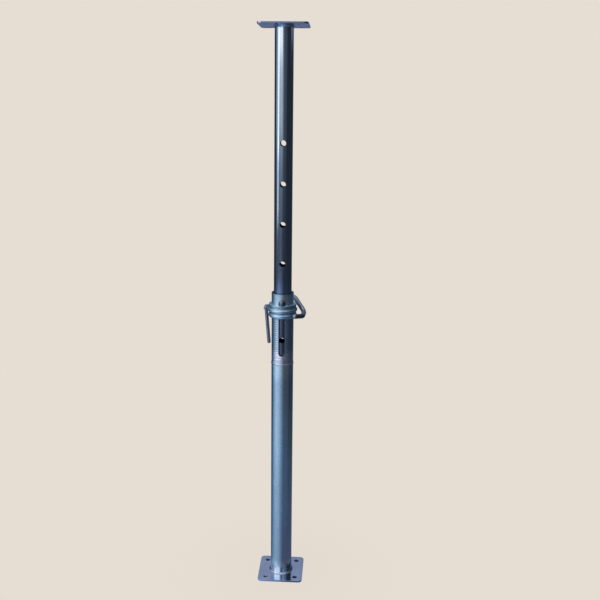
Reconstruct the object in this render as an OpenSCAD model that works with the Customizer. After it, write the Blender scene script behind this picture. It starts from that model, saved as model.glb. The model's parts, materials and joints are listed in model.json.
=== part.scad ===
// Adjustable steel prop: an outer tube on a base plate, with a threaded sleeve, a collar nut with
// a hanging handle, and an inner tube held at its hole by a bent pin that rests on the nut.

/* [Plates] */
// Side of the square base plate and top plate
plate_w = 127; // [110:1:160]
// Thickness of both plates
plate_t = 5; // [4:0.5:10]
// Corner radius of both plates
plate_corner_r = 11; // [4:1:18]
// Distance of each bolt hole's centre from the plate's two nearest edges
plate_hole_edge = 21; // [14:0.5:24]
// Diameter of the bolt holes of both plates
plate_hole_d = 13; // [8:1:18]
// Leg of the fillet welds between tubes and plates
weld_leg = 4; // [3:0.5:7]

/* [Inner tube] */
// Outside diameter of the inner tube
inner_d = 48.3; // [40:0.1:60.3]
// Wall of the inner tube
inner_wall = 3.2; // [2:0.1:4]
// Height of the inner tube above the pinned hole
inner_rise = 707.5; // [500:0.5:900]
// Distance from one pin hole to the next
hole_pitch = 105; // [84:1:130]
// Number of pin holes above the pinned one
holes_above = 4; // [2:1:5]
// Number of pin holes below the pinned one
holes_below = 2; // [1:1:4]
// Length of tube under the lowest pin hole
inner_tail = 44; // [30:1:80]

/* [Outer tube] */
// Length of the plain outer tube
outer_len = 636; // [480:0.2:800]
// Wall of the plain outer tube
outer_wall = 3.2; // [2:0.1:4]
// Wall of the threaded sleeve, measured to the crests of its thread
sleeve_wall = 4.3; // [3.5:0.1:5.5]
// Rise of the thread in one turn
thread_pitch = 6.35; // [5:0.05:8]
// Whole turns of the nut from its highest to its lowest place
screw_turns = 20; // [12:1:26]
// Length of sleeve above the slot
slot_below_top = 16.9; // [10:0.1:24]
// Length of slot left below the pin at its lowest place
slot_spare = 16; // [4:0.5:24]
// How far the weld ring under the sleeve stands proud of the tube
seam_proud = 1; // [0.5:0.1:1.2]
// Height of the weld ring under the sleeve
seam_h = 5; // [4:0.5:6]

/* [Bent pin] */
// Diameter of the pin's round bar
pin_d = 13; // [10.8:0.1:16]
// How far the pin's tip stands out from the outer tube
tip_out = 12.85; // [8:0.05:18]
// Length of the taper at the pin's tip
pin_taper = 3; // [1:0.5:4]
// How far the loop has come down at its back corner
loop_back_drop = 1; // [0.5:0.5:4]
// How far the loop has come down beside the nut
loop_side_drop = 35.5; // [32:0.5:40]
// How far the loop has come down at its front corner
loop_front_drop = 36; // [32:0.5:40]
// How far the loop has come down at its free end
loop_end_drop = 29; // [20:1:40]
// Bend radius where the pin turns into its loop
pin_bend_r = 15; // [12:1:20]
// Bend radius at the loop's back corner
loop_back_bend_r = 20; // [16:1:21]
// Bend radius at the loop's side corner
loop_side_bend_r = 30; // [24:1:32]
// Bend radius at the loop's front corner
hook_bend_r = 25; // [14:1:28]

/* [Collar nut] */
// Height of the collar nut
nut_h = 31; // [28:0.5:38]
// How far the rounded rim stands out from the nut's bore
rim_w = 9.5; // [8.5:0.1:12]
// Radius of the rim's rounding
rim_round = 4.5; // [4:0.1:5]
// How far the bowl under the rim stands out from the bore
bowl_w = 7.9; // [7:0.1:9.5]
// Radius of the bowl's rounding
bowl_round = 10; // [8:0.5:11]
// How far the washer under the pin stands out from the nut's bore
washer_w = 7; // [5.5:0.1:8]
// Height of the washer
washer_h = 6; // [4:0.5:8]

/* [Handle] */
// Diameter of the handle's round bar
handle_d = 9.6; // [7.5:0.1:11]
// Length of the handle from its rivet to its end
handle_len = 102; // [80:0.4:124]
// Diameter of the rivet's shank
rivet_d = 6.4; // [5:0.1:8]
// Width of metal round the rivet in the handle's eye
eye_wall = 3.2; // [3:0.1:4]
// Thickness of each ear of the nut
ear_t = 4; // [3:0.5:5]

/* [Clearances] */
// Gap all round between the inner tube and the threaded sleeve
slide_gap = 1.7; // [1:0.1:2.5]
// Gap all round between the resting pin and its hole, were it centred
hole_play = 1.5; // [1:0.1:2]
// Gap on each side of the pin in its slot
slot_play = 2.5; // [1.5:0.1:3]
// Gap between faces that rest on each other or slide past each other
seat_gap = 0.3; // [0.2:0.05:0.4]
// Gap between the pin and the slot's end at the highest place
slot_top_gap = 0.4; // [0.3:0.05:1]
// Gap between the nut's foot and the weld ring at the lowest place
seam_gap = 1; // [0.5:0.1:3]
// Gap between the thread and the nut's bore
thread_gap = 0.35; // [0.3:0.05:0.4]
// Gap round the rivet where the handle turns
rivet_gap = 0.08; // [0.05:0.01:0.1]
// Gap between the upright handle and the nut's bowl
handle_gap = 1.6; // [1.4:0.1:3]
// Gap between the turning nut and the pin's loop
sweep_gap = 1; // [0.8:0.1:2]

/* [Hidden] */
$fn = 96;
eps = 0.05;

// radii, from the inside out
inner_r = inner_d / 2;
outer_r = inner_r + slide_gap + sleeve_wall;
nut_bore_r = outer_r + thread_gap;
rim_r = nut_bore_r + rim_w;
bowl_r = nut_bore_r + bowl_w;
washer_r = nut_bore_r + washer_w;

// heights, from the ground up: weld ring, nut, washer, pin, slot and sleeve
screw_travel = thread_pitch * screw_turns;
seam_z = plate_t + outer_len;
nut_z = seam_z + seam_h / 2 + seam_gap + screw_travel;
nut_top = nut_z + nut_h;
washer_z = nut_top + seat_gap;
pin_z = washer_z + washer_h + seat_gap + pin_d / 2;
slot_w = pin_d + 2 * slot_play;
slot_top = pin_z + pin_d / 2 + slot_top_gap;
slot_len = slot_top_gap + pin_d + screw_travel + slot_spare;
sleeve_top = slot_top + slot_below_top;

// the inner tube hangs on the pin by the top edge of its hole
hole_d = pin_d + 2 * hole_play;
pinned_hole_z = pin_z - hole_play + seat_gap;
inner_top = pinned_hole_z + inner_rise;
inner_bottom = pinned_hole_z - holes_below * hole_pitch - inner_tail;

// the nut's ears and what turns between them
nut_foot = 1.9;
nut_lead_in = 1;
ear_gap = 0.2;
ear_drop = 0.1;
eye_notch_gap = 0.6;
eye_w = handle_d + 1;
eye_r = rivet_d / 2 + eye_wall;
ear_r = eye_r - 0.4;
ear_in = eye_w / 2 + ear_gap;
ear_out = ear_in + ear_t;
rivet_z = nut_top - eye_r - ear_drop;
rivet_reach = bowl_r + handle_gap + handle_d / 2;
rivet_head_r = rivet_d / 2 + 1.8;
rivet_head_h = 2;
nut_sweep = norm([rivet_reach + ear_r, ear_out]);

// the handle leans in until its end meets the tube, clear of the weld ring
handle_end_gap = 0.6;
handle_end_x = outer_r + seam_proud + handle_end_gap + handle_d / 2;
handle_lean = asin((rivet_reach - handle_end_x) / handle_len);

// the pin's loop goes round outside the turning nut, as seen from above
loop_r = nut_sweep + sweep_gap + pin_d / 2;
back_leg_y = loop_r + 0.8;
hook_end_angle = 59;
hook_end_r = loop_r + 7.4;
loop_path = [
    [0, pin_taper - outer_r - tip_out, pin_z],
    [0, back_leg_y, pin_z],
    [loop_r * 0.46, back_leg_y, pin_z - loop_back_drop],
    [loop_r * 0.975, loop_r * 0.4, pin_z - loop_side_drop],
    [loop_r * 0.94, -loop_r * 0.38, pin_z - loop_front_drop],
    [hook_end_r * cos(hook_end_angle), -hook_end_r * sin(hook_end_angle),
        pin_z - loop_end_drop]
];
loop_bends = [0, pin_bend_r, loop_back_bend_r, loop_side_bend_r, hook_bend_r, 0];

// ---- shared shapes ----

// square outline with round corners
module rounded_square(side, r) {
    square([side - 2 * r, side], center = true);
    square([side, side - 2 * r], center = true);
    for (x = [-1, 1], y = [-1, 1])
        translate([x, y] * (side / 2 - r)) circle(r);
}

// end plate with four bolt holes, standing on z = 0
module end_plate() {
    linear_extrude(plate_t) difference() {
        rounded_square(plate_w, plate_corner_r);
        for (x = [-1, 1], y = [-1, 1])
            translate([x, y] * (plate_w / 2 - plate_hole_edge)) circle(d = plate_hole_d);
    }
}

// fillet weld round a tube that stands on z = 0, with a slightly hollow face
module fillet_weld(tube_r) {
    rotate_extrude() difference() {
        translate([tube_r, 0]) polygon([[0, 0], [weld_leg, 0], [0, weld_leg]]);
        translate([tube_r + weld_leg * 1.35, weld_leg * 1.35]) circle(weld_leg * 1.15);
    }
}

// tube from z = 0 up, with its end edges eased
module tube(r, wall, length, ease = 0.4) {
    rotate_extrude() polygon([
        [r - wall, 0], [r - ease, 0], [r, ease], [r, length - ease],
        [r - ease, length], [r - wall, length]
    ]);
}

// straight round bar from one point to another
module bar(from, to, d) {
    v = to - from;
    translate(from)
        rotate([0, acos(v[2] / norm(v)), atan2(v[1], v[0])])
            cylinder(d = d, h = norm(v));
}

function unit(v) = v / norm(v);

// how much of each leg a bend takes
function bend_cut(a, b, c, r) =
    r == 0 ? 0 : r / tan(acos(unit(a - b) * unit(c - b)) / 2);

// quarter-like bend at b, on the way from a to c, as a piece of a ring
module bend(a, b, c, r, d) {
    u = unit(a - b);
    w = unit(c - b);
    turn = 180 - acos(u * w);
    centre = b + unit(u + w) * r / cos(turn / 2);
    start = b + u * bend_cut(a, b, c, r);
    x_axis = unit(start - centre);
    z_axis = unit(cross(x_axis, -u));
    y_axis = cross(z_axis, x_axis);
    // turn the flat ring into the plane of the two legs
    tilt = acos(z_axis[2]);
    swing = atan2(z_axis[1], z_axis[0]);
    flat_x = [cos(tilt) * cos(swing), cos(tilt) * sin(swing), -sin(tilt)];
    flat_y = [-sin(swing), cos(swing), 0];
    spin = atan2(x_axis * flat_y, x_axis * flat_x);
    translate(centre) rotate([0, 0, swing]) rotate([0, tilt, 0]) rotate([0, 0, spin])
        rotate_extrude(angle = turn) translate([r, 0]) circle(d = d);
}

// round bar bent along a path, with a bend radius at each inner point
module bent_bar(path, bends, d) {
    last = len(path) - 1;
    lap = 0.3;
    shy = 0.03;
    for (i = [0 : last - 1]) {
        v = unit(path[i + 1] - path[i]);
        cut_a = i == 0 ? 0 : bend_cut(path[i - 1], path[i], path[i + 1], bends[i]);
        cut_b = i + 1 == last ? 0
            : bend_cut(path[i], path[i + 1], path[i + 2], bends[i + 1]);
        // each leg ends a little way inside its bends, which are a hair thicker
        bar(path[i] + v * (cut_a - (i == 0 ? 0 : lap)),
            path[i + 1] - v * (cut_b - (i + 1 == last ? 0 : lap)), d - 2 * shy);
    }
    for (i = [1 : last - 1]) bend(path[i - 1], path[i], path[i + 1], bends[i], d);
}

// ---- fixed pieces ----

module base_plate() {
    color("lightsteelblue") end_plate();
}

module base_weld() {
    color("slategray") translate([0, 0, plate_t]) fillet_weld(outer_r);
}

module outer_tube() {
    color("steelblue") translate([0, 0, plate_t]) tube(outer_r, outer_wall, outer_len);
}

// butt weld between the plain tube and the sleeve, as a low round ring
module sleeve_weld() {
    crown_r = (seam_h * seam_h / 4 + seam_proud * seam_proud) / (2 * seam_proud);
    color("slategray") translate([0, 0, seam_z]) rotate_extrude() intersection() {
        translate([outer_r + seam_proud - crown_r, 0]) circle(crown_r, $fn = 180);
        translate([outer_r, -seam_h]) square([2 * seam_proud, 2 * seam_h]);
    }
}

// the slot runs through both walls, with round ends
module slot_cutter() {
    r = slot_w / 2;
    rotate([90, 0, 0]) linear_extrude(3 * outer_r, center = true) {
        for (z = [slot_top - slot_len + r, slot_top - r]) translate([0, z]) circle(r);
        translate([-r, slot_top - slot_len + r]) square([slot_w, slot_len - slot_w]);
    }
}

module threaded_sleeve() {
    color("lightskyblue") difference() {
        translate([0, 0, seam_z]) tube(outer_r, sleeve_wall, sleeve_top - seam_z, 1);
        slot_cutter();
    }
}

// ---- pieces that rise and fall with the inner tube ----

module inner_tube() {
    color("darkslateblue") difference() {
        translate([0, 0, inner_bottom])
            tube(inner_r, inner_wall, inner_top - inner_bottom, 0.6);
        for (i = [-holes_below : holes_above])
            translate([0, 0, pinned_hole_z + i * hole_pitch])
                rotate([90, 0, 0]) cylinder(d = hole_d, h = 3 * inner_r, center = true);
    }
}

module top_weld() {
    color("slategray") translate([0, 0, inner_top]) mirror([0, 0, 1]) fillet_weld(inner_r);
}

module top_plate() {
    color("lightsteelblue") translate([0, 0, inner_top]) end_plate();
}

module thrust_washer() {
    ease = 0.8;
    color("silver") translate([0, 0, washer_z]) rotate_extrude() polygon([
        [nut_bore_r, 0], [washer_r - ease, 0], [washer_r, ease],
        [washer_r, washer_h - ease], [washer_r - ease, washer_h], [nut_bore_r, washer_h]
    ]);
}

module g_pin() {
    $fn = 40;
    last = len(loop_path) - 1;
    end_dir = unit(loop_path[last] - loop_path[last - 1]);
    end_root = 0.3;
    color("silver") {
        bent_bar(loop_path, loop_bends, pin_d);
        // tapered tip, and an eased end on the hook, both rooted inside the bar
        translate(loop_path[0] + [0, end_root, 0]) rotate([90, 0, 0])
            cylinder(d1 = pin_d - 0.1, d2 = pin_d - 2 * pin_taper, h = pin_taper + end_root);
        translate(loop_path[last] - end_dir * end_root)
            rotate([0, acos(end_dir[2]), atan2(end_dir[1], end_dir[0])])
                cylinder(d1 = pin_d - 0.1, d2 = pin_d - 3, h = 1.5 + end_root);
    }
}

// ---- the collar nut and its handle ----

// half section of the nut: a flat top, a rounded rim, a waist and a bowl
module nut_section() {
    rim_z = nut_h - rim_round - 3.5;
    waist_in = 3.2;
    difference() {
        union() {
            translate([rim_r - rim_round, rim_z]) circle(rim_round);
            translate([bowl_r - bowl_round, bowl_round]) circle(bowl_round);
            // body behind the roundings, with a sloping shoulder up to the top face
            polygon([
                [nut_bore_r - 1, bowl_round], [bowl_r - waist_in, bowl_round],
                [rim_r - rim_round, rim_z - 3], [rim_r - rim_round, rim_z + rim_round],
                [washer_r - 0.5, nut_h], [nut_bore_r - 1, nut_h]
            ]);
            translate([nut_bore_r - 1, 0]) square([nut_foot + 1, bowl_round]);
        }
        translate([0, -nut_h]) square([nut_bore_r, 3 * nut_h]);
    }
}

module ear_outline() {
    translate([-rivet_reach, rivet_z]) circle(ear_r);
    translate([-rivet_reach, rivet_z - ear_r]) square([rivet_reach - rim_r + 5, 2 * ear_r]);
}

module collar_nut() {
    color("lightblue") difference() {
        union() {
            translate([0, 0, nut_z]) rotate_extrude() nut_section();
            for (s = [-1, 1])
                translate([0, s * (ear_in + ear_out) / 2, 0]) rotate([90, 0, 0])
                    linear_extrude(ear_t, center = true) ear_outline();
        }
        // room for the handle's eye between the ears
        translate([-3 * rim_r, -ear_in, nut_z - 1])
            cube([3 * rim_r - rivet_reach + eye_r + eye_notch_gap, 2 * ear_in, nut_h + 2]);
        // bore of the thread, with a lead-in at its foot
        translate([0, 0, nut_z - 1]) cylinder(r = nut_bore_r, h = nut_h + 2);
        translate([0, 0, nut_z - eps])
            cylinder(r1 = nut_bore_r + nut_lead_in, r2 = nut_bore_r, h = nut_lead_in);
        translate([-rivet_reach, 0, rivet_z]) rotate([90, 0, 0])
            cylinder(d = rivet_d + eps, h = 4 * ear_out, center = true);
    }
}

module handle_rivet() {
    color("gainsboro") translate([-rivet_reach, 0, rivet_z]) rotate([90, 0, 0]) {
        cylinder(d = rivet_d, h = 2 * ear_out, center = true);
        for (s = [0, 1]) mirror([0, 0, s]) translate([0, 0, ear_out])
            cylinder(r1 = rivet_head_r, r2 = rivet_head_r * 0.55, h = rivet_head_h);
    }
}

// straight bar with a flat eye at its top and a round end
module nut_handle() {
    color("silver") translate([-rivet_reach, 0, rivet_z]) rotate([0, -handle_lean, 0])
        difference() {
            union() {
                rotate([90, 0, 0]) cylinder(r = eye_r, h = eye_w, center = true);
                translate([0, 0, -handle_len + handle_d / 2])
                    cylinder(d = handle_d, h = handle_len - handle_d / 2 - eye_r / 2);
                translate([0, 0, -handle_len + handle_d / 2]) sphere(d = handle_d);
            }
            rotate([90, 0, 0])
                cylinder(d = rivet_d + 2 * rivet_gap, h = 2 * eye_w, center = true);
        }
}

base_plate();
base_weld();
outer_tube();
sleeve_weld();
threaded_sleeve();
inner_tube();
top_weld();
top_plate();
thrust_washer();
g_pin();
collar_nut();
handle_rivet();
nut_handle();
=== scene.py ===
import json
import math
import random

import bmesh
import bpy
from mathutils import Matrix, Vector


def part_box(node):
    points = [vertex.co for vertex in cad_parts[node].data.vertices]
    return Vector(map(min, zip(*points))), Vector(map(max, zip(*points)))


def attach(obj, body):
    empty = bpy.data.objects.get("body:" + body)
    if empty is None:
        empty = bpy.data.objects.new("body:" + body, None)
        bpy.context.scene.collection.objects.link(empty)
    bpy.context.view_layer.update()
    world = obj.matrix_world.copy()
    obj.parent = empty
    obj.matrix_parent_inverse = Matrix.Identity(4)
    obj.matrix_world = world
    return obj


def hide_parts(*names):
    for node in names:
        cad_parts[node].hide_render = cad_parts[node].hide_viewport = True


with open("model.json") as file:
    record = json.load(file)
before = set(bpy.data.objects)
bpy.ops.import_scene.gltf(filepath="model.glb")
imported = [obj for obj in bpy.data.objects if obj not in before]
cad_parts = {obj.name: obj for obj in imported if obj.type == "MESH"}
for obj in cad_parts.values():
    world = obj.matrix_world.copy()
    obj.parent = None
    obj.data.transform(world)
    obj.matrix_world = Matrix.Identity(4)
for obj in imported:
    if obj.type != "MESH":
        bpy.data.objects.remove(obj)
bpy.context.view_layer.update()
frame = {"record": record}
record = frame["record"]

# ---------------------------------------------------------------- sizes, in metres

MM = 0.001
TURN = 2 * math.pi
JOINTS = {joint["name"]: joint for joint in record["behaviour"]["joints"]}
MOUNTS = {mount["name"]: mount for mount in record["mounts"]}
BOLTS = MOUNTS["base_bolts"]["dims"]
BOLT_SPACING = BOLTS["spacing_x_mm"] * MM
BOLT_HOLE_R = BOLTS["hole_r_mm"] * MM
PLATE_CORNER = 11 * MM
PLATE_EASE = 0.9 * MM

TUBE_WALL = 3.2 * MM
TUBE_EASE = 0.6 * MM
SLEEVE_WALL = 4.3 * MM
THREAD_PITCH = 6.35 * MM
THREAD_DEPTH = 0.45 * MM
THREAD_PLAY = 0.35 * MM  # from the sleeve's outside to the bores of the nut and washer
SLOT_W = 18 * MM
SLOT_LEN = 156.4 * MM
SLOT_ABOVE_PIN = 6.9 * MM

PIN_R = 6.5 * MM
PIN_GAP = 0.3 * MM  # between the pin and the top of the inner tube's hole
HOLE_R = 8 * MM
HOLE_PITCH = 105 * MM
HOLES_BELOW = 2
HOLES_ABOVE = 4

HANDLE_R = 4.8 * MM
HANDLE_LEN = 102 * MM
EYE_R = 6.4 * MM
EAR_R = EYE_R - 0.4 * MM
EAR_IN = 5.5 * MM
EAR_OUT = 9.5 * MM


def width(node):
    low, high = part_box(node)
    return high.x - low.x


def heights(node):
    low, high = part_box(node)
    return low.z, high.z


outer_r = width("outer_tube") / 2
inner_r = width("inner_tube") / 2
plate_w = width("base_plate")
collar_bore = outer_r + THREAD_PLAY
foot_top = heights("base_plate")[1]
sleeve_low, sleeve_top = heights("threaded_sleeve")
nut_bottom, nut_top = heights("collar_nut")
rivet_x, _, rivet_z = JOINTS["handle_fold"]["pos_m"]
pin_z = JOINTS["pin_swing"]["pos_m"][2]
pinned_hole_z = pin_z - (HOLE_R - PIN_R) + PIN_GAP
hole_zs = [pinned_hole_z + k * HOLE_PITCH for k in range(-HOLES_BELOW, HOLES_ABOVE + 1)]


# ---------------------------------------------------------------- shader nodes


def add_node(tree, kind, **settings):
    node = tree.nodes.new(kind)
    for key, value in settings.items():
        setattr(node, key, value)
    return node


def feed(tree, value, socket):
    """Links another node's output to a socket, or sets the socket to a number or colour."""
    if hasattr(value, "links"):
        tree.links.new(value, socket)
    elif socket.type == "RGBA":
        socket.default_value = (*value, 1)
    else:
        socket.default_value = value


def calc(tree, operation, a, b=None):
    node = add_node(tree, "ShaderNodeMath", operation=operation)
    feed(tree, a, node.inputs[0])
    if b is not None:
        feed(tree, b, node.inputs[1])
    return node.outputs[0]


def times(tree, a, b):
    return calc(tree, "MULTIPLY", a, b)


def vector_calc(tree, operation, a, b=None):
    node = add_node(tree, "ShaderNodeVectorMath", operation=operation)
    feed(tree, a, node.inputs[0])
    if b is not None:
        feed(tree, b, node.inputs["Scale" if operation == "SCALE" else 1])
    return node.outputs["Value" if operation in ("DOT_PRODUCT", "LENGTH") else "Vector"]


def ramp(tree, value, start, end, low=0, high=1, kind="LINEAR"):
    """Goes from low to high as the value goes from start to end, and stays level beyond them."""
    node = add_node(tree, "ShaderNodeMapRange", interpolation_type=kind)
    feed(tree, value, node.inputs["Value"])
    for label, level in (("From Min", start), ("From Max", end), ("To Min", low), ("To Max", high)):
        node.inputs[label].default_value = level
    return node.outputs["Result"]


def noise(tree, place, scale, detail, roughness, stretch=None):
    if stretch is not None:
        mapping = add_node(tree, "ShaderNodeMapping")
        mapping.inputs["Scale"].default_value = stretch
        feed(tree, place, mapping.inputs["Vector"])
        place = mapping.outputs["Vector"]
    node = add_node(tree, "ShaderNodeTexNoise")
    feed(tree, place, node.inputs["Vector"])
    for label, value in (("Scale", scale), ("Detail", detail), ("Roughness", roughness)):
        node.inputs[label].default_value = value
    return node.outputs["Fac"]


def mix_colour(tree, factor, a, b):
    node = add_node(tree, "ShaderNodeMix", data_type="RGBA")
    for socket, value in ((node.inputs[0], factor), (node.inputs[6], a), (node.inputs[7], b)):
        feed(tree, value, socket)
    return node.outputs[2]


def mix_shader(tree, factor, a, b):
    node = add_node(tree, "ShaderNodeMixShader")
    for socket, value in zip(node.inputs, (factor, a, b)):
        feed(tree, value, socket)
    return node.outputs[0]


def blank_group(name, outputs):
    """A new node group that takes a place or a direction and puts out the named values."""
    group = bpy.data.node_groups.new(name, "ShaderNodeTree")
    group.interface.new_socket("Vector", in_out="INPUT", socket_type="NodeSocketVector")
    for label in outputs:
        group.interface.new_socket(label, in_out="OUTPUT", socket_type="NodeSocketFloat")
    given = add_node(group, "NodeGroupInput").outputs["Vector"]
    return group, given, add_node(group, "NodeGroupOutput").inputs


def use_group(tree, group, vector):
    node = add_node(tree, "ShaderNodeGroup", node_tree=group)
    feed(tree, vector, node.inputs["Vector"])
    return node.outputs


# ---------------------------------------------------------------- effects that the metals share


def drawn_lines_group():
    """Fine lines along the tube's length, with longer and shorter runs."""
    group, place, out = blank_group("drawn_lines", ["Lines"])
    fine = noise(group, place, scale=900, detail=3, roughness=0.6, stretch=(1, 1, 0.012))
    broad = noise(group, place, scale=190, detail=2, roughness=0.5, stretch=(1, 1, 0.02))
    feed(group, calc(group, "ADD", times(group, fine, 0.6), times(group, broad, 0.4)), out["Lines"])
    return group


def zinc_bloom_group():
    """Soft cloudy patches and small flecks that bright zinc shows."""
    group, place, out = blank_group("zinc_bloom", ["Cloud", "Flecks"])
    cloud = noise(group, place, scale=14, detail=5, roughness=0.6, stretch=(1, 1, 0.35))
    feed(group, ramp(group, cloud, 0.3, 0.7), out["Cloud"])
    cells = add_node(group, "ShaderNodeTexVoronoi", feature="F1")
    cells.inputs["Scale"].default_value = 420
    feed(group, place, cells.inputs["Vector"])
    parts = add_node(group, "ShaderNodeSeparateColor")
    feed(group, cells.outputs["Color"], parts.inputs["Color"])
    feed(group, parts.outputs["Red"], out["Flecks"])
    return group


def handling_marks_group():
    """Scuffs from handling: short scratches across the length and rubbed spots."""
    group, place, out = blank_group("handling_marks", ["Scratches", "Rubs"])
    slanted = add_node(group, "ShaderNodeMapping")
    slanted.inputs["Rotation"].default_value = (0.5, 0.35, 0.8)
    slanted.inputs["Scale"].default_value = (1, 1, 0.04)
    feed(group, place, slanted.inputs["Vector"])
    cuts = noise(group, slanted.outputs["Vector"], scale=620, detail=2, roughness=0.5)
    where = noise(group, place, scale=30, detail=3, roughness=0.6)
    scratches = times(group, ramp(group, cuts, 0.66, 0.72), ramp(group, where, 0.5, 0.62))
    feed(group, scratches, out["Scratches"])
    rubs = noise(group, place, scale=55, detail=4, roughness=0.65, stretch=(1, 1, 0.6))
    feed(group, ramp(group, rubs, 0.56, 0.72), out["Rubs"])
    return group


def cast_skin_group():
    """Rough sand-cast skin: rounded grains with scattered pits."""
    group, place, out = blank_group("cast_skin", ["Grain", "Pits"])
    feed(group, noise(group, place, scale=700, detail=5, roughness=0.6), out["Grain"])
    pits = noise(group, place, scale=260, detail=2, roughness=0.5)
    feed(group, ramp(group, pits, 0.60, 0.72), out["Pits"])
    return group


DRAWN_LINES = drawn_lines_group()
ZINC_BLOOM = zinc_bloom_group()
HANDLING_MARKS = handling_marks_group()
CAST_SKIN = cast_skin_group()


# ---------------------------------------------------------------- materials


def zinc(name, light, dark, rough, lines=0.0, cast=0.0, fleck=0.15, bump=0.25, bands=()):
    """Bright zinc plating over steel. light and dark are the two tones it drifts between.

    Each band gives two heights, a colour and whether that colour is above or below them.
    """
    material = bpy.data.materials.new(name)
    material.use_nodes = True
    tree = material.node_tree
    shader = tree.nodes["Principled BSDF"].inputs
    shader["Metallic"].default_value = 1.0
    shader["IOR"].default_value = 1.5
    place = add_node(tree, "ShaderNodeTexCoord").outputs["Object"]
    bloom = use_group(tree, ZINC_BLOOM, place)
    marks = use_group(tree, HANDLING_MARKS, place)
    drawn = use_group(tree, DRAWN_LINES, place)["Lines"]
    skin = use_group(tree, CAST_SKIN, place)
    worn_edge = add_node(tree, "ShaderNodeAttribute", attribute_name="worn_edge").outputs["Fac"]
    sunk_edge = add_node(tree, "ShaderNodeAttribute", attribute_name="sunk_edge").outputs["Fac"]

    # how far the lines, flecks and pits lighten or darken the plating
    streaks = ramp(tree, drawn, 0.35, 0.65, 1 - 0.35 * lines, 1 + 0.2 * lines)
    tone = times(tree, streaks, ramp(tree, bloom["Flecks"], 0, 1, 1 - fleck, 1 + fleck))
    if cast:
        tone = times(tree, tone, ramp(tree, skin["Pits"], 0, 1, 1, 1 - 0.4 * cast))

    # the plating's colour, paler where it is rubbed, with painted shade in grooves and inside corners
    pale = tuple(min(1, 1.35 * part + 0.08) for part in light)
    painted_groove_shade = tuple(0.35 * part for part in dark)
    colour = vector_calc(tree, "SCALE", mix_colour(tree, bloom["Cloud"], dark, light), tone)
    colour = mix_colour(tree, times(tree, marks["Rubs"], 0.25), colour, pale)
    colour = mix_colour(tree, times(tree, worn_edge, 0.3), colour, pale)
    colour = mix_colour(tree, times(tree, sunk_edge, 0.8), colour, painted_groove_shade)
    height = add_node(tree, "ShaderNodeSeparateXYZ")
    feed(tree, place, height.inputs[0])
    for low, high, band_colour, where in bands:
        above = 1 if where == "above" else 0
        inside = ramp(tree, height.outputs["Z"], low, high, 1 - above, above)
        colour = mix_colour(tree, inside, colour, vector_calc(tree, "SCALE", band_colour, tone))
    feed(tree, colour, shader["Base Color"])

    clouded = ramp(tree, bloom["Cloud"], 0, 1, rough * 1.18, rough * 0.85)
    lined = calc(tree, "ADD", clouded, ramp(tree, drawn, 0.35, 0.65, -0.03 * lines, 0.05 * lines))
    scratched = calc(tree, "ADD", lined, times(tree, marks["Scratches"], 0.12))
    feed(tree, scratched, shader["Roughness"])

    relief = times(tree, drawn, 0.25 * lines)
    relief = calc(tree, "SUBTRACT", relief, times(tree, marks["Scratches"], 0.3))
    if cast:
        lumps = calc(tree, "SUBTRACT", skin["Grain"], skin["Pits"])
        relief = calc(tree, "ADD", relief, times(tree, lumps, cast))
    raised = add_node(tree, "ShaderNodeBump")
    raised.inputs["Strength"].default_value = bump
    raised.inputs["Distance"].default_value = 0.4 * MM
    feed(tree, relief, raised.inputs["Height"])
    feed(tree, raised.outputs["Normal"], shader["Normal"])
    return material


outer_tube_zinc = zinc(
    "outer_tube_zinc", (0.42, 0.62, 0.85), (0.36, 0.53, 0.75), rough=0.20, lines=0.4, fleck=0.09,
    bump=0.15,
    bands=[
        # painted highlights: brighter colour at the foot and just under the seam, standing in for light
        # reflected there
        (foot_top + 10 * MM, foot_top + 45 * MM, (0.86, 1.0, 1.0), "below"),
        (sleeve_low - 51 * MM, sleeve_low - 26 * MM, (0.54, 0.76, 0.96), "above"),
    ],
)
sleeve_zinc = zinc(
    "threaded_sleeve_zinc", (0.37, 0.53, 0.73), (0.32, 0.46, 0.66), rough=0.21, lines=0.1, fleck=0.08,
    bump=0.15,
    bands=[
        # painted highlights: brighter colour at the slot's foot and above the nut; painted shade: a dark
        # band at the rim
        (sleeve_low + 31 * MM, sleeve_low + 44 * MM, (0.64, 0.76, 1.0), "below"),
        (nut_top - 3.5 * MM, nut_top + 3.5 * MM, (0.60, 0.84, 1.0), "above"),
        (sleeve_top - 1.9 * MM, sleeve_top - 0.9 * MM, (0.10, 0.15, 0.22), "above"),
    ],
)
inner_tube_zinc = zinc(
    "inner_tube_zinc", (0.37, 0.53, 0.82), (0.30, 0.45, 0.71), rough=0.12, lines=0.5, fleck=0.06,
    bump=0.08,
    bands=[
        # painted shade, darker towards where it slides into the sleeve, and much darker inside it
        (sleeve_top + 30.6 * MM, sleeve_top + 90.6 * MM, (0.30, 0.43, 0.67), "below"),
        (sleeve_top - 49.4 * MM, sleeve_top - 4.4 * MM, (0.105, 0.130, 0.195), "below"),
    ],
)
plate_zinc = zinc("plate_zinc", (0.30, 0.41, 0.72), (0.25, 0.35, 0.63), rough=0.15, fleck=0.05, bump=0.06)
nut_zinc = zinc(
    "collar_nut_zinc", (0.41, 0.66, 0.93), (0.35, 0.575, 0.83), rough=0.34, cast=0.10, fleck=0.05, bump=0.12
)
pin_zinc = zinc("pin_zinc", (0.26, 0.33, 0.45), (0.19, 0.25, 0.35), rough=0.24, lines=0.1, bump=0.12)
handle_zinc = zinc("handle_zinc", (0.24, 0.29, 0.38), (0.18, 0.22, 0.30), rough=0.28, lines=0.1, bump=0.12)
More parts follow.
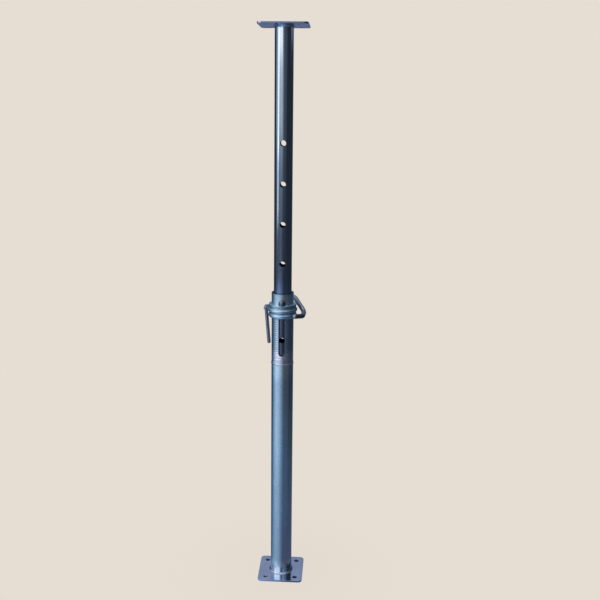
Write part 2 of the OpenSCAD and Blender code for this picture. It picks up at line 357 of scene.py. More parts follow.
# the foot's weld bead is a darker copy of the seam's bead: painted shade
seam_bead_zinc = zinc("seam_bead_zinc", (0.62, 0.78, 1.0), (0.46, 0.60, 0.82), rough=0.24, cast=0.1)
weld_bead_zinc = zinc("weld_bead_zinc", (0.46, 0.62, 0.90), (0.29, 0.40, 0.60), rough=0.22, cast=0.1)


# ---------------------------------------------------------------- outlines and meshes


def clamp(value):
    return min(1.0, max(0.0, value))


def arc(x, y, r, start, end, steps, tall=1.0):
    """Points from one angle to another, in degrees, on a circle that may be stretched upwards."""
    turns = [math.radians(start + (end - start) * k / steps) for k in range(steps + 1)]
    return [(x + r * math.cos(a), y + tall * r * math.sin(a)) for a in turns]


def eased(corners, ease, steps):
    """Rounds every corner of a closed section by the given amount."""
    out = []
    count = len(corners)
    for i, corner in enumerate(corners):
        p = Vector(corner)
        before = Vector(corners[i - 1]) - p
        after = Vector(corners[(i + 1) % count]) - p
        cut = min(ease, before.length * 0.45, after.length * 0.45)
        start, end = p + before.normalized() * cut, p + after.normalized() * cut
        for k in range(steps + 1):
            t = k / steps
            out.append(tuple((1 - t) ** 2 * start + 2 * t * (1 - t) * p + t * t * end))
    return out


def ring_section(r_in, r_out, low, high, ease, steps):
    return eased([(r_in, low), (r_out, low), (r_out, high), (r_in, high)], ease, steps)


def ring_quads(rows, per_ring, closed=False):
    """Faces between rings of points that follow one another, and back to the first if closed."""
    quads = []
    for row in range(rows if closed else rows - 1):
        a, b = row * per_ring, (row + 1) % rows * per_ring
        for k in range(per_ring):
            n = (k + 1) % per_ring
            quads.append((a + k, a + n, b + n, b + k))
    return quads


def show(name, mesh, material):
    """Puts a mesh into the scene as an object of its own."""
    piece = bpy.data.objects.new(name, mesh)
    bpy.context.scene.collection.objects.link(piece)
    mesh.materials.append(material)
    return piece


def new_piece(name, verts, faces, material):
    mesh = bpy.data.meshes.new(name)
    mesh.from_pydata([tuple(v) for v in verts], [], faces)
    mesh.validate()
    b = bmesh.new()
    b.from_mesh(mesh)
    bmesh.ops.recalc_face_normals(b, faces=b.faces)
    b.to_mesh(mesh)
    b.free()
    return show(name, mesh, material)


def turned(name, section, segments, material, shape=None):
    """A closed section of (radius, height) points, turned once round the prop's axis."""
    verts = []
    for r, z in section:
        for k in range(segments):
            a = TURN * k / segments
            point_r, point_z = shape(r, z, a) if shape else (r, z)
            verts.append((point_r * math.cos(a), point_r * math.sin(a), point_z))
    return new_piece(name, verts, ring_quads(len(section), segments, closed=True), material)


def prism(name, first, second, material):
    """Closed solid between two outlines that match point for point."""
    n = len(first)
    faces = ring_quads(2, n) + [tuple(range(n)), tuple(range(n, 2 * n))]
    return new_piece(name, [*first, *second], faces, material)


def slab(name, outline, y_from, y_to, material):
    """Closed solid with an (x, z) outline, from one y to another."""
    first, second = [[(x, y, z) for x, z in outline] for y in (y_from, y_to)]
    return prism(name, first, second, material)


def ring(centre, side, up, radius, segments):
    turns = [TURN * k / segments for k in range(segments)]
    return [centre + radius * (math.cos(a) * side + math.sin(a) * up) for a in turns]


def rod(name, start, end, radius, material, segments=48):
    """Plain round solid between two points."""
    ahead = (end - start).normalized()
    side = ahead.orthogonal().normalized()
    up = ahead.cross(side)
    first, second = [ring(centre, side, up, radius, segments) for centre in (start, end)]
    return prism(name, first, second, material)


def skin_rings(name, rings, tips, material):
    """Skin over rings of points that follow one another, closed by a fan to a tip at each end."""
    per_ring = len(rings[0])
    verts = [point for points in rings for point in points]
    faces = ring_quads(len(rings), per_ring)
    for start, tip in zip((0, len(verts) - per_ring), tips):
        verts.append(tip)
        faces += [(start + k, start + (k + 1) % per_ring, len(verts) - 1) for k in range(per_ring)]
    return new_piece(name, verts, faces, material)


def bake_modifiers(piece):
    bpy.context.view_layer.update()
    graph = bpy.context.evaluated_depsgraph_get()
    mesh = bpy.data.meshes.new_from_object(piece.evaluated_get(graph))
    old = piece.data
    piece.modifiers.clear()
    piece.data = mesh
    bpy.data.meshes.remove(old)


def combine(piece, other, operation):
    """Cuts the other solid out of the piece (DIFFERENCE) or joins it on (UNION)."""
    step = piece.modifiers.new("combine", "BOOLEAN")
    step.operation = operation
    step.solver = "EXACT"
    step.object = other
    bake_modifiers(piece)
    bpy.data.objects.remove(other)


def mark_edges(piece):
    """Writes 0 to 1 at each point: worn_edge on outside edges that get rubbed, sunk_edge in grooves, where
    painted shade goes.
    """
    least_turn, full_turn = 0.25, 0.85
    fine_mesh, passes = 4000, 2
    b = bmesh.new()
    b.from_mesh(piece.data)
    for name, way, keep in (("worn_edge", 1, 0.6), ("sunk_edge", -1, 0.75)):
        marks = []
        for v in b.verts:
            turns = [way * e.calc_face_angle_signed(0.0) for e in v.link_edges if len(e.link_faces) == 2]
            marks.append(clamp((max(turns, default=0) - least_turn) / (full_turn - least_turn)))
        # on a fine mesh the mark spreads to the points beside the edge
        for _ in range(passes if len(marks) > fine_mesh else 0):
            beside = [max((marks[e.other_vert(v).index] for e in v.link_edges), default=0) for v in b.verts]
            marks = [max(own, keep * most) for own, most in zip(marks, beside)]
        layer = piece.data.attributes.new(name, "FLOAT", "POINT")
        layer.data.foreach_set("value", marks)
    b.free()


def smooth(piece, angle, weighted=True):
    """Smooth shading with sharp edges above an angle, in degrees."""
    mesh = piece.data
    mesh.polygons.foreach_set("use_smooth", [True] * len(mesh.polygons))
    mesh.set_sharp_from_angle(angle=math.radians(angle))
    if weighted:
        even = piece.modifiers.new("even_shading", "WEIGHTED_NORMAL")
        even.keep_sharp = True
        bake_modifiers(piece)
    mark_edges(piece)


def settle(piece, body, node):
    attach(piece, body)
    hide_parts(node)


# ---------------------------------------------------------------- end plates


def plate_outline(inset):
    corner = PLATE_CORNER - inset
    half = plate_w / 2 - PLATE_CORNER
    loop = []
    for quarter, (sx, sy) in enumerate(((1, 1), (-1, 1), (-1, -1), (1, -1))):
        loop += arc(sx * half, sy * half, corner, 90 * quarter, 90 * (quarter + 1), 12)
    return loop


def bolt_hole_outline(inset, sx, sy):
    half = BOLT_SPACING / 2
    return arc(sx * half, sy * half, BOLT_HOLE_R + inset, 0, 360, 40)[:-1]


def end_plate(name, node, body):
    """Pressed plate: sheared outline, eased edges and four bolt holes."""
    low, high = heights(node)
    # each step gives how far the outline is drawn in there, and its height
    steps = [(PLATE_EASE, low), (PLATE_EASE * 0.3, low + PLATE_EASE * 0.3), (0, low + PLATE_EASE)]
    steps += [(inset, low + high - z) for inset, z in reversed(steps)]
    stacks = [[(plate_outline(inset), z) for inset, z in steps]]
    for sx in (-1, 1):
        for sy in (-1, 1):
            stacks.append([(bolt_hole_outline(inset, sx, sy), z) for inset, z in steps])
    b = bmesh.new()
    underside, top = [], []
    for stack in stacks:
        rings = [[b.verts.new((x, y, z)) for x, y in outline] for outline, z in stack]
        count = len(rings[0])
        for lower, upper in zip(rings, rings[1:]):
            for k in range(count):
                n = (k + 1) % count
                b.faces.new((lower[k], lower[n], upper[n], upper[k]))
        for rim, edges in ((rings[0], underside), (rings[-1], top)):
            edges += [b.edges.get((rim[k], rim[(k + 1) % count])) for k in range(count)]
    for edges in (underside, top):
        bmesh.ops.triangle_fill(b, use_beauty=True, use_dissolve=False, edges=edges)
    bmesh.ops.recalc_face_normals(b, faces=b.faces)
    mesh = bpy.data.meshes.new(name)
    b.to_mesh(mesh)
    b.free()
    piece = show(name, mesh, plate_zinc)
    smooth(piece, 50)
    settle(piece, body, node)


end_plate("foot_plate", "base_plate", "outer")
end_plate("head_plate", "top_plate", "inner")


# ---------------------------------------------------------------- welds


def weld_bead(name, node, body, tube_r, up, seed):
    """Fillet bead laid in overlapping ripples, with one start and stop lap.

    up is 1 where the bead climbs the tube from its plate, and -1 where it hangs under its plate.
    """
    low, high = heights(node)
    leg = high - low
    root = low if up > 0 else high
    sink = 0.4 * MM
    ripples, lap_width = 62, 0.10
    rng = random.Random(seed)
    heave = [rng.uniform(-1, 1) for _ in range(ripples)]
    start = rng.uniform(0, TURN)
    # shares of the leg, out along the plate and up along the tube
    hollow = [(0.98, 0.10), (0.66, 0.30), (0.46, 0.46), (0.30, 0.66), (0.10, 0.98)]
    fillet = [(0.0, 0.0), (1.0, 0.0), *hollow, (0.0, 1.0)]

    def laid(r, z, a):
        t = (a / TURN * ripples) % ripples
        k = int(t)
        lap = math.exp(-(((a - start + math.pi) % TURN - math.pi) / lap_width) ** 2)
        swell = 0.95 + 0.02 * heave[k] + 0.035 * math.sin(math.pi * (t - k)) + 0.05 * lap
        bead_r = tube_r + (r - tube_r) * swell if r > tube_r else tube_r - sink
        return bead_r, root + (z - root) * min(1.0, swell)

    section = [(tube_r + out * leg, root + up * rise * leg) for out, rise in fillet]
    piece = turned(name, section, 496, weld_bead_zinc, laid)
    smooth(piece, 60)
    settle(piece, body, node)


weld_bead("foot_weld_bead", "base_weld", "outer", outer_r, up=1, seed=3)
weld_bead("head_weld_bead", "top_weld", "inner", inner_r, up=-1, seed=8)


def seam_bead():
    """Butt weld round the tube under the sleeve: two passes side by side, laid in ripples."""
    low, high = heights("sleeve_weld")
    proud = width("sleeve_weld") / 2 - outer_r
    middle, half = (low + high) / 2, (high - low) / 2
    ripples, wanders, wander = 84, 12, 0.35 * MM
    sink = 0.3 * MM
    rng = random.Random(11)
    heave = [rng.uniform(-1, 1) for _ in range(ripples)]
    drift = [rng.uniform(-1, 1) for _ in range(wanders)]
    section = []
    across = 14
    for k in range(across + 1):
        t = 2 * k / across - 1
        crown = math.sqrt(max(0.0, 1 - t * t)) * (1 - 0.30 * math.exp(-((t / 0.22) ** 2)))
        section.append((outer_r + proud * crown, middle + half * t))
    section += [(outer_r - sink, middle + half), (outer_r - sink, middle - half)]

    def laid(r, z, a):
        t = (a / TURN * ripples + 1.6 * (z - middle) / half) % ripples
        k = int(t)
        swell = 0.86 + 0.14 * math.sin(math.pi * (t - k)) + 0.08 * heave[k]
        bead_r = outer_r + (r - outer_r) * min(1.0, swell) if r > outer_r else r
        place = a / TURN * wanders
        here, part = int(place), place % 1
        shift = drift[here] * (1 - part) + drift[(here + 1) % wanders] * part
        return bead_r, z + shift * wander

    piece = turned("sleeve_weld_bead", section, 504, seam_bead_zinc, laid)
    smooth(piece, 60)
    settle(piece, "outer", "sleeve_weld")


seam_bead()


# ---------------------------------------------------------------- tubes


def outer_tube():
    section = ring_section(outer_r - TUBE_WALL, outer_r, *heights("outer_tube"), TUBE_EASE, 2)
    piece = turned("outer_tube_shell", section, 160, outer_tube_zinc)
    smooth(piece, 40)
    settle(piece, "outer", "outer_tube")


outer_tube()


def round_normals(piece, r_in, r_out):
    """True round shading on a tube's wall and on the cross holes through it."""
    mesh = piece.data
    wall_slack, bore_slack, hole_slack = 0.08 * MM, 0.02 * MM, 0.05 * MM
    normals = [None] * len(mesh.loops)
    for face in mesh.polygons:
        points = [mesh.vertices[i].co for i in face.vertices]
        radii = [math.hypot(p.x, p.y) for p in points]
        upright = face.normal.xy.length > 0.9
        outside = upright and all(abs(r - r_out) < wall_slack for r in radii)
        inside = upright and all(abs(r - r_in) < wall_slack for r in radii)
        in_wall = min(radii) >= r_in - bore_slack and max(radii) <= r_out + bore_slack
        crosswise = in_wall and (upright or abs(face.normal.y) < 0.2)
        for loop_index, p in zip(face.loop_indices, points):
            normal = face.normal.copy()
            if outside or inside:
                normal = Vector((p.x, p.y, 0)).normalized() * (1 if outside else -1)
            elif crosswise:
                hole_z = min(hole_zs, key=lambda z: abs(z - p.z))
                inward = Vector((-p.x, 0, hole_z - p.z))
                if abs(inward.length - HOLE_R) < hole_slack:
                    normal = inward.normalized()
            normals[loop_index] = normal
    mesh.polygons.foreach_set("use_smooth", [True] * len(mesh.polygons))
    mesh.normals_split_custom_set(normals)
    mark_edges(piece)


def inner_tube():
    """Sliding tube with its row of cross holes."""
    r_in = inner_r - TUBE_WALL
    section = ring_section(r_in, inner_r, *heights("inner_tube"), TUBE_EASE, 2)
    piece = turned("inner_tube_shell", section, 144, inner_tube_zinc)
    reach = Vector((0, 2 * inner_r, 0))
    for z in hole_zs:
        at = Vector((0, 0, z))
        combine(piece, rod("hole_cutter", at - reach, at + reach, HOLE_R, inner_tube_zinc), "DIFFERENCE")
    round_normals(piece, r_in, inner_r)
    settle(piece, "inner", "inner_tube")


inner_tube()


# ---------------------------------------------------------------- threaded sleeve


def thread_depth(z, a, low, high):
    """Depth of the rolled right-hand thread at a height and angle, fading out at both ends."""
    phase = (z - THREAD_PITCH * a / TURN) / THREAD_PITCH
    wave = abs(2 * (phase - math.floor(phase)) - 1)
    flank = clamp((wave - 0.25) / 0.50)
    round_flank = flank * flank * (3 - 2 * flank)
    run_in = clamp((z - low) / (1.5 * THREAD_PITCH))
    run_out = clamp((high - z) / (0.9 * THREAD_PITCH))
    return THREAD_DEPTH * round_flank * run_in * run_out


def slot_cutter():
    """Long bar with round ends, through both walls."""
    r = SLOT_W / 2
    top = pin_z + SLOT_ABOVE_PIN - r
    bottom = pin_z + SLOT_ABOVE_PIN - SLOT_LEN + r
    outline = arc(0, top, r, 0, 180, 24) + arc(0, bottom, r, 180, 360, 24)
    reach = 1.5 * outer_r
    return slab("slot_cutter", outline, -reach, reach, sleeve_zinc)


def threaded_sleeve():
    low, high = sleeve_low, sleeve_top
    r_in = outer_r - SLEEVE_WALL
    ease, lead_in = 0.4 * MM, 0.6 * MM
    thread_low, thread_high = low + 4 * MM, nut_top + 3 * MM
    rows = int((high - low) / (THREAD_PITCH / 20))
    threaded = None  # a radius that the thread sets
    threaded_len = high - low - 2 * ease
    section = [(r_in, low), (outer_r - ease, low)]
    section += [(threaded, low + ease + threaded_len * k / rows) for k in range(rows + 1)]
    section += [(outer_r - ease, high), (r_in + lead_in, high), (r_in, high - lead_in)]

    def rolled(r, z, a):
        return (outer_r - thread_depth(z, a, thread_low, thread_high) if r is threaded else r), z

    piece = turned("threaded_sleeve_shell", section, 112, sleeve_zinc, rolled)
    combine(piece, slot_cutter(), "DIFFERENCE")
    smooth(piece, 42, weighted=False)
    settle(piece, "outer", "threaded_sleeve")


threaded_sleeve()


# ---------------------------------------------------------------- washer, collar nut and rivet


def thrust_washer():
    section = ring_section(collar_bore, width("thrust_washer") / 2, *heights("thrust_washer"), 1.3 * MM, 4)
    piece = turned("thrust_ring", section, 160, nut_zinc)
    smooth(piece, 40)
    settle(piece, "inner", "thrust_washer")


thrust_washer()


def collar_nut():
    """Cast nut: bowl, groove, rounded rim and neck round a bore, with a forked ear for the handle."""
    bore, tall = collar_bore, nut_top - nut_bottom
    foot_lead, top_lead = 0.9 * MM, 0.5 * MM
    bowl_r, bowl_round, bowl_z = bore + 7.9 * MM, 7.4 * MM, 6.8 * MM
    groove_r, groove_z = bore + 4.4 * MM, bowl_z + 7.5 * MM
    rim_r, rim_round, rim_stretch, rim_z = bore + 9.5 * MM, 4.5 * MM, 1.2, tall - 10.2 * MM
    neck_r = bore + 6.6 * MM
    section = [(bore + foot_lead, 0), (bore + 1.5 * MM, 0)]
    section += arc(bowl_r - bowl_round, bowl_z, bowl_round, -80, 46, 20)
    section += [(groove_r, groove_z)]
    section += arc(rim_r - rim_round, rim_z, rim_round, -65, 50, 20, rim_stretch)
    section += [(neck_r + 0.4 * MM, tall - 5.0 * MM), (neck_r + 0.05 * MM, tall - 3.8 * MM), (neck_r, tall)]
    section += [(bore + top_lead, tall), (bore, tall - top_lead), (bore, foot_lead)]
    section = [(r, nut_bottom + z) for r, z in section]
    piece = turned("collar_nut_casting", section, 192, nut_zinc)

    # the fork: an ear on each side of the handle's eye, and a notch in the casting behind the eye
    ear_root = -rim_r + 6 * MM
    outline = arc(rivet_x, rivet_z, EAR_R, 90, 270, 24)
    outline += [(ear_root, rivet_z - EAR_R), (ear_root, rivet_z + EAR_R)]
    for side in (-1, 1):
        combine(piece, slab("ear", outline, side * EAR_IN, side * EAR_OUT, nut_zinc), "UNION")
    notch_in, notch_out = rivet_x + EYE_R + 0.6 * MM, -3 * rim_r
    notch_low, notch_high = nut_bottom - MM, nut_top + MM
    notch = [(notch_out, notch_low), (notch_in, notch_low), (notch_in, notch_high), (notch_out, notch_high)]
    combine(piece, slab("notch_cutter", notch, -EAR_IN, EAR_IN, nut_zinc), "DIFFERENCE")
    smooth(piece, 50)
    settle(piece, "nut", "collar_nut")


collar_nut()


def handle_rivet():
    """Shank with a domed head on one side and a hammered one on the other."""
    low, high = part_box("handle_rivet")
    half = (high.y - low.y) / 2
    shank_r, head_r, head_h = 3.2 * MM, 5.0 * MM, 2.0 * MM
    inside = half - head_h
    # radius and distance along the rivet, from the domed head's tip to the hammered head
    section = [(head_r * math.sin(t), -inside - head_h * math.cos(t)) for t in (0.35, 0.7, 1.05, 1.35, 1.57)]
    section += [(shank_r, -inside), (shank_r, inside)]
    flat_r, flat_h = head_r * 0.96, head_h * 0.85
    section += [(flat_r * math.sin(t), inside + flat_h * math.cos(t)) for t in (1.57, 1.2, 0.85, 0.6)]
    section += [(head_r * 0.35, inside + flat_h)]
    across, up = Vector((1, 0, 0)), Vector((0, 0, 1))
    rings = [ring(Vector((rivet_x, y, rivet_z)), across, up, r, 48) for r, y in section]
    tips = [Vector((rivet_x, y, rivet_z)) for y in (-half, inside + head_h * 0.8)]
    piece = skin_rings("handle_rivet_body", rings, tips, pin_zinc)
    smooth(piece, 35)
    settle(piece, "nut", "handle_rivet")


handle_rivet()


# ---------------------------------------------------------------- bent pin and handle


def bent_path(corners, bends):
    """Points along straight legs with true round bends at the inner corners."""
    bend_step, leg_step = 1.2 * MM, 4 * MM
    points = [corners[0]]
    for before, corner, after, radius in zip(corners, corners[1:], corners[2:], bends):
        back, on = (before - corner).normalized(), (after - corner).normalized()
        inner = math.acos(max(-1, min(1, back.dot(on))))
        cut = radius / math.tan(inner / 2)
        centre = corner + (back + on).normalized() * (radius / math.sin(inner / 2))
        start, end = corner + back * cut - centre, corner + on * cut - centre
        turn = math.pi - inner
        steps = max(4, int(radius * turn / bend_step))
        for k in range(steps + 1):
            t = k / steps
            spoke = (math.sin((1 - t) * turn) * start + math.sin(t * turn) * end) / math.sin(turn)
            points.append(centre + spoke)
    points.append(corners[-1])
    # extra points on the straight legs
    filled = [points[0]]
    for p in points[1:]:
        last = filled[-1]
        steps = max(1, int((p - last).length / leg_step))
        filled += [last + (p - last) * k / steps for k in range(1, steps + 1)]
    return filled


def sweep(name, path, radii, material, segments=40):
    """Round bar along a path, with a radius at each point and closed ends."""
    rings = []
    side = (path[1] - path[0]).normalized().orthogonal().normalized()
    for before, p, after, radius in zip([path[0], *path], path, [*path[1:], path[-1]], radii):
        ahead = (after - before).normalized()
        side = (side - side.dot(ahead) * ahead).normalized()
        rings.append(ring(p, side, ahead.cross(side), radius, segments))
    return skin_rings(name, rings, (path[0], path[-1]), material)


def g_pin():
    """Bent pin: straight shank through the tubes, then a loop that goes round outside the nut."""
    taper = 3 * MM
    shank_end = outer_r + 12.85 * MM
    nut_sweep = math.hypot(EAR_R - rivet_x, EAR_OUT)
    loop_r = nut_sweep + 1 * MM + PIN_R
    back_y = loop_r + 0.8 * MM
    hook_r, hook_a = loop_r + 7.4 * MM, math.radians(59)
    corners = [
        Vector((0, taper - shank_end, pin_z)),
        Vector((0, back_y, pin_z)),
        Vector((0.46 * loop_r, back_y, pin_z - 1 * MM)),
        Vector((0.975 * loop_r, 0.4 * loop_r, pin_z - 35.5 * MM)),
        Vector((0.94 * loop_r, -0.38 * loop_r, pin_z - 36 * MM)),
        Vector((hook_r * math.cos(hook_a), -hook_r * math.sin(hook_a), pin_z - 29 * MM)),
    ]
    path = bent_path(corners, [15 * MM, 20 * MM, 30 * MM, 25 * MM])
    first, last = path[0], path[-1]
    out = (path[-1] - path[-2]).normalized()
    # tapered tip with a rounded shoulder and a flat end: distance along the shank and radius
    tip = [
        (-taper, PIN_R * 0.50),
        (-0.95 * taper, PIN_R * 0.58),
        (-0.25 * taper, PIN_R * 0.93),
        (0.0, PIN_R),
        (0.5 * MM, PIN_R),
    ]
    bar = [p for p in path[1:] if (last - p).length > 3.2 * MM]
    # eased end on the hook
    hook = (0.0, 0.3, 0.55, 0.8, 1.0, 1.2, 1.38, 1.5)
    points = [Vector((0, first.y + along, pin_z)) for along, _ in tip] + bar
    points += [last + out * (4.5 * math.sin(t) - 3.0) * MM for t in hook]
    radii = [r for _, r in tip] + [PIN_R] * len(bar) + [PIN_R * math.cos(t) for t in hook]
    piece = sweep("bent_pin", points, radii, pin_zinc)
    smooth(piece, 45)
    settle(piece, "pin", "g_pin")


g_pin()


def soften_forging(piece, voxel, rounds):
    """Rebuilds a solid as one skin and rounds its inside and outside corners, as forging does."""
    skin = piece.modifiers.new("skin", "REMESH")
    skin.mode = "VOXEL"
    skin.voxel_size = voxel
    skin.use_smooth_shade = True
    soften = piece.modifiers.new("soften", "SMOOTH")
    soften.factor = 0.5
    soften.iterations = rounds
    bake_modifiers(piece)


def nut_handle():
    """Round bar with a flattened eye, forged from one length."""
    eye_half, eye_hole_r = EAR_IN - 0.2 * MM, 3.3 * MM
    stand_off = 1.6 * MM
    lean = math.asin((-rivet_x - (outer_r + stand_off + HANDLE_R)) / HANDLE_LEN)
    down = Vector((math.sin(lean), 0, -math.cos(lean)))
    rivet = Vector((rivet_x, 0, rivet_z))
    neck, end = 3.4 * MM, HANDLE_LEN - HANDLE_R
    steps = 22
    path = [rivet + down * (neck + (end - neck) * k / steps) for k in range(steps + 1)]
    radii = [HANDLE_R] * len(path)
    for t in (0.3, 0.6, 0.85, 1.05, 1.25, 1.4):
        path.append(rivet + down * (end + HANDLE_R * math.sin(t)))
        radii.append(HANDLE_R * math.cos(t))
    piece = sweep("nut_handle_bar", path, radii, handle_zinc)
    across = Vector((0, 1, 0))
    eye = rod("eye", rivet - across * eye_half, rivet + across * eye_half, EYE_R, handle_zinc, 64)
    combine(piece, eye, "UNION")
    hole = rod("hole_cutter", rivet - across * 30 * MM, rivet + across * 30 * MM, eye_hole_r, handle_zinc)
    combine(piece, hole, "DIFFERENCE")
    soften_forging(piece, 0.4 * MM, 4)
    smooth(piece, 60, weighted=False)
    settle(piece, "handle", "nut_handle")


nut_handle()


# ---------------------------------------------------------------- studio

PALE = (0.791, 0.730, 0.651)  # paper, walls and ceiling
DIM = (0.036, 0.036, 0.041)  # the unlit room
BACK_GLOW = (0.50, 0.65, 0.98)
FRONT_LEVEL, BACK_LEVEL, TOP_LEVEL = 0.11, 0.25, 0.80

# the floor in the metal: its unlit side from the foot outwards, the lit paper on the left, and a
# paler lane in front on the right
DIM_FOOT = (0.115, 0.118, 0.165)
DIM_NEAR = (0.078, 0.086, 0.092)
DIM_MID = (0.040, 0.046, 0.056)
DIM_FAR = (0.055, 0.075, 0.120)
SHEET_NEAR = (0.70, 0.81, 0.88)
SHEET = (0.84, 0.87, 0.92)
SHEET_FAR = (1.12, 1.20, 1.55)
SHEET_REAR = (0.54, 0.80, 1.0)
SHEET_ENDS = (3.42, 3.64)
LANE = (0.35, 0.60, 0.95)
LANE_FAR = (0.80, 0.76, 0.72)

# the walls' glow, far off along the floor: the distance it comes in over, and its strength
NEAR_WALL_FADE, NEAR_WALL_LEVEL = 7, 0.33
FAR_WALL_FADE, FAR_WALL_LEVEL = 40, 0.55
FRONT_FADE = 10.5


def studio_side_group():
    """How much of each part of the studio lies in a direction from the prop."""
    labels = ["Side", "Front", "Sheet", "Back", "Rear", "Lane", "Top"]
    group, way, out = blank_group("studio_side", labels)
    level = vector_calc(group, "NORMALIZE", vector_calc(group, "MULTIPLY", way, (1, 1, 0)))
    # the level direction that each part lies in, and how squarely it is faced where it starts and is full
    for label, towards, start, full in (
        ("Side", (-0.785, -0.620, 0), 0.50, 0.90),
        ("Front", (0.10, -0.995, 0), 0.70, 1.0),
        ("Back", (-0.06, 0.998, 0), 0.70, 1.0),
        ("Rear", (-0.94, 0.34, 0), 0.60, 1.0),
        ("Lane", (0.469, -0.883, 0), 0.55, 0.95),
    ):
        facing = vector_calc(group, "DOT_PRODUCT", level, towards)
        feed(group, ramp(group, facing, start, full, kind="SMOOTHSTEP"), out[label])
    facing = vector_calc(group, "DOT_PRODUCT", level, (-0.795, -0.606, 0))
    feed(group, calc(group, "POWER", ramp(group, facing, 0.30, 1.0), 1.5), out["Sheet"])
    overhead = vector_calc(group, "DOT_PRODUCT", vector_calc(group, "NORMALIZE", way), (-0.25, 0.25, 0.935))
    feed(group, ramp(group, overhead, 0.50, 0.80, kind="SMOOTHSTEP"), out["Top"])
    return group


STUDIO_SIDE = studio_side_group()


def change_over(tree, far, start, end, near_colour, far_colour):
    """One colour up to a distance and another beyond it, with a soft change between."""
    return mix_colour(tree, ramp(tree, far, start, end), near_colour, far_colour)


def distant_glow(tree, far, fade):
    """Goes from 0 near the foot towards 1 well beyond the fade's distance."""
    return calc(tree, "EXPONENT", calc(tree, "DIVIDE", -fade, far))


def dim_ground(tree, side, far):
    """The floor's unlit side, with the lane across it."""
    ground = change_over(tree, far, 0.2, 0.9, DIM_FOOT, DIM_NEAR)
    ground = change_over(tree, far, 0.9, 1.6, ground, DIM_MID)
    ground = change_over(tree, far, 2.7, 3.1, ground, DIM_FAR)
    lane = times(tree, side["Lane"], ramp(tree, far, 1.0, 2.0, 0.10, 0.06))
    lane = times(tree, lane, ramp(tree, far, 0.2, 0.5))
    return mix_colour(tree, lane, ground, change_over(tree, far, 1.0, 1.6, LANE, LANE_FAR))


def lit_sheet(tree, side, far):
    """The lit paper's colour from the foot outwards."""
    paper = change_over(tree, far, 0.6, 1.2, SHEET_NEAR, SHEET)
    paper = change_over(tree, far, 2.7, 3.1, paper, SHEET_FAR)
    paper = mix_colour(tree, side["Rear"], paper, SHEET_REAR)
    return change_over(tree, far, 3.5, 3.65, paper, SHEET)


def studio_tone(tree, way, far=None):
    """The studio as the metal shows it: pale to the left and overhead, dim to the right and behind.

    On the floor, far is the distance from the prop's foot.
    """
    side = use_group(tree, STUDIO_SIDE, way)
    front = times(tree, side["Front"], FRONT_LEVEL)
    if far is None:
        dim, lit, paper = DIM, side["Side"], PALE
    else:
        on_sheet = ramp(tree, far, *SHEET_ENDS, 1, 0)
        dim = mix_colour(tree, on_sheet, DIM, dim_ground(tree, side, far))
        paper = lit_sheet(tree, side, far)
        sheet = times(tree, times(tree, side["Sheet"], on_sheet), ramp(tree, far, 0.1, 0.9, 0.65, 1.0))
        near_wall = times(tree, distant_glow(tree, far, NEAR_WALL_FADE), NEAR_WALL_LEVEL)
        far_wall = times(tree, distant_glow(tree, far, FAR_WALL_FADE), FAR_WALL_LEVEL)
        wall = times(tree, calc(tree, "ADD", near_wall, far_wall), side["Side"])
        lit = calc(tree, "MAXIMUM", sheet, wall)
        front = times(tree, front, distant_glow(tree, far, FRONT_FADE))
    tone = mix_colour(tree, front, dim, PALE)
    tone = mix_colour(tree, times(tree, side["Back"], BACK_LEVEL), tone, BACK_GLOW)
    tone = mix_colour(tree, lit, tone, paper)
    return mix_colour(tree, times(tree, side["Top"], TOP_LEVEL), tone, PALE)


def floor_material():
    """Plain pale floor that keeps the prop's shadow, and that the metal sees with the studio's tones."""
    material = bpy.data.materials.new("floor_pale")
    material.use_nodes = True
    tree = material.node_tree
    tree.nodes.clear()
    rays = add_node(tree, "ShaderNodeLightPath").outputs
    place = add_node(tree, "ShaderNodeTexCoord").outputs["Object"]
    far = vector_calc(tree, "LENGTH", place)
    # painted shadow: the ground inside the foot plate's outline is coloured near black, for the dark under
    # the steel
    corner = add_node(tree, "ShaderNodeSeparateXYZ")
    feed(tree, vector_calc(tree, "ABSOLUTE", place), corner.inputs[0])
    reach = calc(tree, "MAXIMUM", corner.outputs["X"], corner.outputs["Y"])
    outside = calc(tree, "GREATER_THAN", reach, plate_w / 2 - 4 * MM)
    matte = add_node(tree, "ShaderNodeBsdfDiffuse")
    feed(tree, mix_colour(tree, outside, (0.02, 0.02, 0.03), PALE), matte.inputs["Color"])
    plain = add_node(tree, "ShaderNodeEmission")
    feed(tree, PALE, plain.inputs["Color"])
    sheen = add_node(tree, "ShaderNodeEmission")
    feed(tree, studio_tone(tree, place, far), sheen.inputs["Color"])
    # the prop's shadow shows most close to its foot
    away = ramp(tree, far, 0.06, 0.45, 0.93, 1.0)
    plain_part = times(tree, times(tree, away, outside), rays["Is Camera Ray"])
    seen = mix_shader(tree, plain_part, matte.outputs[0], plain.outputs[0])
    surface = mix_shader(tree, rays["Is Glossy Ray"], seen, sheen.outputs[0])
    feed(tree, surface, add_node(tree, "ShaderNodeOutputMaterial").inputs["Surface"])
    return material


def studio_floor():
    reach = 40.0
    mesh = bpy.data.meshes.new("floor")
    corners = [(-reach, -reach, 0), (reach, -reach, 0), (reach, reach, 0), (-reach, reach, 0)]
    mesh.from_pydata(corners, [], [(0, 1, 2, 3)])
    floor = show("floor", mesh, floor_material())
    floor.location.z = -0.2 * MM


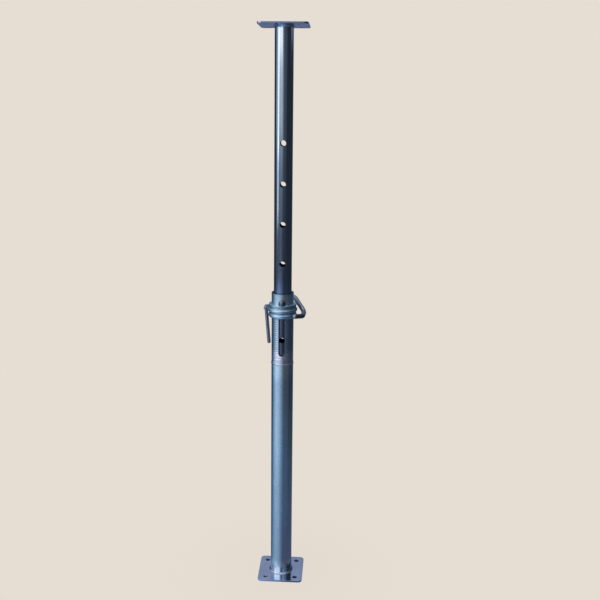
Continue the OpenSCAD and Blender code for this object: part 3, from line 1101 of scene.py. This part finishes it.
def studio_world():
    """Pale all round to the camera, and the studio's tones to everything else."""
    world = bpy.data.worlds.new("studio")
    bpy.context.scene.world = world
    world.use_nodes = True
    tree = world.node_tree
    tree.nodes.clear()
    rays = add_node(tree, "ShaderNodeLightPath").outputs
    way = add_node(tree, "ShaderNodeTexCoord").outputs["Generated"]
    shades = []
    for colour in (studio_tone(tree, way), PALE):
        shade = add_node(tree, "ShaderNodeBackground")
        feed(tree, colour, shade.inputs["Color"])
        shade.inputs["Strength"].default_value = 1.0
        shades.append(shade.outputs[0])
    surface = mix_shader(tree, rays["Is Camera Ray"], *shades)
    feed(tree, surface, add_node(tree, "ShaderNodeOutputWorld").inputs["Surface"])


def soft_light(name, at, towards, size, power, colour):
    lamp = bpy.data.lights.new(name, "AREA")
    lamp.shape = "RECTANGLE"
    lamp.size, lamp.size_y = size
    lamp.energy = power
    lamp.color = colour
    holder = bpy.data.objects.new(name, lamp)
    bpy.context.scene.collection.objects.link(holder)
    holder.location = at
    holder.rotation_euler = (Vector(towards) - Vector(at)).to_track_quat("-Z", "Y").to_euler()


def studio_camera():
    heading, downwards, roll = 3.004, 13.608, 0.651  # degrees
    camera = bpy.data.cameras.new("camera")
    camera.lens = 47.787
    camera.sensor_width = 36
    camera.clip_end = 200
    holder = bpy.data.objects.new("camera", camera)
    bpy.context.scene.collection.objects.link(holder)
    holder.location = (0.15653, -2.08937, 1.32484)
    turns = Matrix.Rotation(math.radians(heading), 4, "Z")
    turns = turns @ Matrix.Rotation(math.radians(90 - downwards), 4, "X")
    turns = turns @ Matrix.Rotation(math.radians(roll), 4, "Z")
    holder.rotation_euler = turns.to_euler()
    bpy.context.scene.camera = holder


studio_floor()
studio_world()
studio_camera()
soft_light("left_strip", (-1.70, -0.87, 1.75), (0, 0, 1.75), (0.6, 1.30), 3.6, (1.0, 0.80, 0.66))
soft_light("left_strip_foot", (-1.76, -0.73, 0.98), (0, 0, 0.98), (0.6, 0.44), 0.88, (1.0, 0.82, 0.68))
soft_light("left_panel", (-2.30, -3.28, 2.45), (0, 0, 2.45), (3.5, 1.5), 23, (1.0, 0.73, 0.55))
soft_light("right_panel", (1.55, 0.80, 2.12), (0, 0, 2.12), (1.5, 1.0), 1.0, (0.95, 0.88, 1.0))
soft_light("front_soft", (0.25, -2.75, 3.0), (0.25, 0, 0.8), (4.6, 1.4), 11, (0.85, 0.93, 1.0))
soft_light("front_right_soft", (2.15, -2.30, 3.0), (0, 0, 0.8), (2.8, 1.4), 6, (0.85, 0.93, 1.0))
soft_light("top_soft", (-0.3, 0.4, 3.4), (0, 0, 0.5), (1.8, 1.8), 6, (0.95, 0.97, 1.0))

bpy.context.scene.view_settings.view_transform = "Standard"
